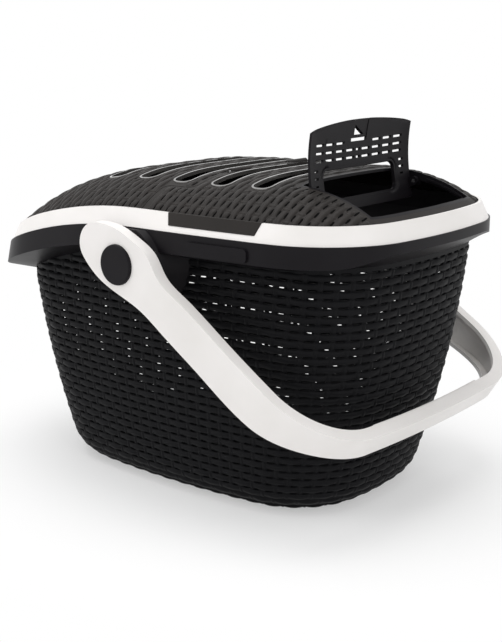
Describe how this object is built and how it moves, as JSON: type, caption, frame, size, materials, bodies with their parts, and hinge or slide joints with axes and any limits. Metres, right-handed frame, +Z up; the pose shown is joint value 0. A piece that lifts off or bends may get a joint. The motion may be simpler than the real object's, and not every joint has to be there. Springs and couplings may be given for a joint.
{
  "type": "pet carrier",
  "caption": "Woven-look plastic pet carrier with a slotted domed lid, lifting front door, rear hatch flap and a folding U handle",
  "frame": {"origin": "centre of the underside of the tub, on the surface it stands on", "axes": "+X along the length towards the hatch end, -X is the door end, +Y across to the left side, +Z up"},
  "size_m": [0.5175, 0.386, 0.3864],
  "materials": {
    "basket_plastic": "moulded polypropylene, satin woven relief",
    "collar_plastic": "smooth satin moulded polypropylene",
    "lid_plastic": "moulded polypropylene, satin woven relief",
    "bezel_plastic": "polished moulded edge",
    "white_plastic": "satin moulded polypropylene",
    "pin_steel": "bright drawn pin"
  },
  "bodies": {
    "carrier": {"tub": "basket_plastic", "rim_collar": "collar_plastic", "rim_trim": "white_plastic", "belt_plate_right": "collar_plastic", "belt_plate_left": "collar_plastic", "handle_pivot_right": "collar_plastic", "handle_pivot_left": "collar_plastic", "handle_cap_right": "collar_plastic", "handle_cap_left": "collar_plastic"},
    "handle_assembly": {"handle": "white_plastic", "grip_cover": "white_plastic"},
    "lid": {"rear_lid": "lid_plastic", "lid_slot_bezels": "bezel_plastic", "hatch_frame": "collar_plastic", "door_hinge_pins": "pin_steel", "flap_hinge_pins": "pin_steel"},
    "door": {"front_door": "lid_plastic", "door_slot_bezels": "bezel_plastic"},
    "flap": {"hatch_flap": "lid_plastic", "flap_window_bezel": "bezel_plastic"},
    "catch": {"flap_catch": "collar_plastic"},
    "clip_right": {"side_clip_right": "lid_plastic"},
    "clip_left": {"side_clip_left": "lid_plastic"},
    "latch_front": {"front_latch": "lid_plastic"}
  },
  "joints": [
    {"name": "handle_swing", "type": "hinge", "parent": "carrier", "child": "handle_assembly", "pos_m": [0, 0, 0.25], "axis": [0, -1, 0], "range_deg": [0, 240]},
    {"name": "lid_lift", "type": "slide", "parent": "carrier", "child": "lid", "axis": [0, 0, 1], "range_m": [0, 0.2]},
    {"name": "door_hinge", "type": "hinge", "parent": "lid", "child": "door", "pos_m": [0.038, 0, 0.3315], "axis": [0, 1, 0], "range_deg": [0, 100]},
    {"name": "flap_hinge", "type": "hinge", "parent": "lid", "child": "flap", "pos_m": [0.164, 0, 0.318], "axis": [0, 1, 0], "range_deg": [0, 110]},
    {"name": "catch_slide", "type": "slide", "parent": "flap", "child": "catch", "axis": [0.342, 0, -0.9397], "range_m": [0, 0.003]},
    {"name": "clip_right_hinge", "type": "hinge", "parent": "lid", "child": "clip_right", "pos_m": [0.09539, -0.15426, 0.3009], "axis": [0.9983, 0.0579, 0], "range_deg": [-15, 0]},
    {"name": "clip_left_hinge", "type": "hinge", "parent": "lid", "child": "clip_left", "pos_m": [0.09539, 0.15426, 0.3009], "axis": [0.9983, -0.0579, 0], "range_deg": [0, 15]},
    {"name": "front_latch_hinge", "type": "hinge", "parent": "door", "child": "latch_front", "pos_m": [-0.2444, 0, 0.23947], "axis": [0, 1, 0], "range_deg": [0, 15]}
  ]
}
